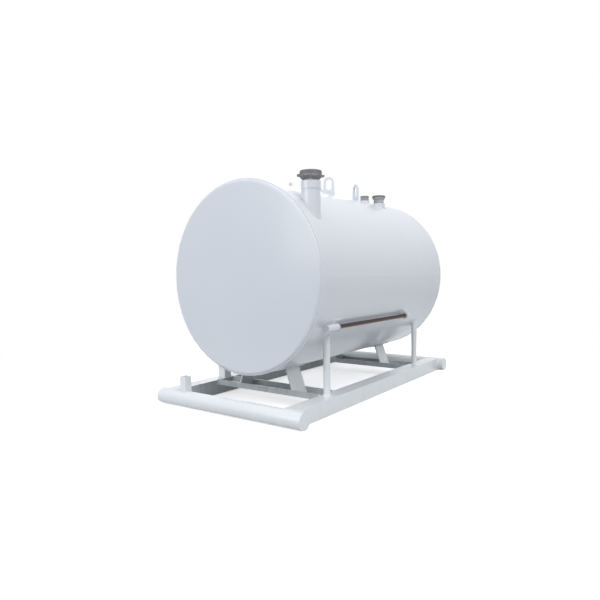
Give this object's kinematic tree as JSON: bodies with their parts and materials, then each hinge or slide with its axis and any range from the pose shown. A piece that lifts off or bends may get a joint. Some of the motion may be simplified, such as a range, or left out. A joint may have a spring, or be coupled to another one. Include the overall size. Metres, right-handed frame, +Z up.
{
  "type": "skid-mounted fuel tank",
  "caption": "Horizontal cylindrical steel fuel tank with flat heads, capped riser, lifting lugs and crown fittings, on a low skid of tube rails and round cross pipes.",
  "frame": {"origin": "on the ground under the middle of the skid", "axes": "+Z up, +Y along the tank from the front head to the rear head, +X towards the flank with the side rod"},
  "size_m": [1.219, 2.1656, 1.5344],
  "materials": {
    "tank_paint": "white gloss enamel, lightly weathered",
    "skid_paint": "off-white enamel with dirt low down",
    "dark_cap": "black enamel on cast caps",
    "dark_rod": "dark brown-black steel bar"
  },
  "bodies": {
    "root": {"tank_shell": "tank_paint", "front_head": "tank_paint", "rear_head": "tank_paint", "riser_pipe": "tank_paint", "riser_collar": "tank_paint", "riser_cap": "dark_cap", "plug_collar": "tank_paint", "pipe_plug": "dark_cap", "vent_collar": "tank_paint", "vent_cap": "dark_cap", "front_right_lug": "tank_paint", "front_left_lug": "tank_paint", "rear_right_lug": "tank_paint", "rear_left_lug": "tank_paint", "right_rail": "skid_paint", "left_rail": "skid_paint", "front_cross_pipe": "skid_paint", "rear_cross_pipe": "skid_paint", "front_right_pipe_plate": "skid_paint", "front_left_pipe_plate": "skid_paint", "rear_right_pipe_plate": "skid_paint", "rear_left_pipe_plate": "skid_paint", "front_channel": "skid_paint", "rear_channel": "skid_paint", "front_saddle": "skid_paint", "rear_saddle": "skid_paint", "front_right_leg": "skid_paint", "front_left_leg": "skid_paint", "rear_right_leg": "skid_paint", "rear_left_leg": "skid_paint", "front_right_post": "skid_paint", "front_left_post": "skid_paint", "rear_right_post": "skid_paint", "rear_left_post": "skid_paint", "front_rod_socket": "tank_paint", "rear_rod_socket": "tank_paint", "front_socket_pad": "tank_paint", "rear_socket_pad": "tank_paint", "side_rod": "dark_rod", "post_socket": "skid_paint"}
  },
  "joints": []
}
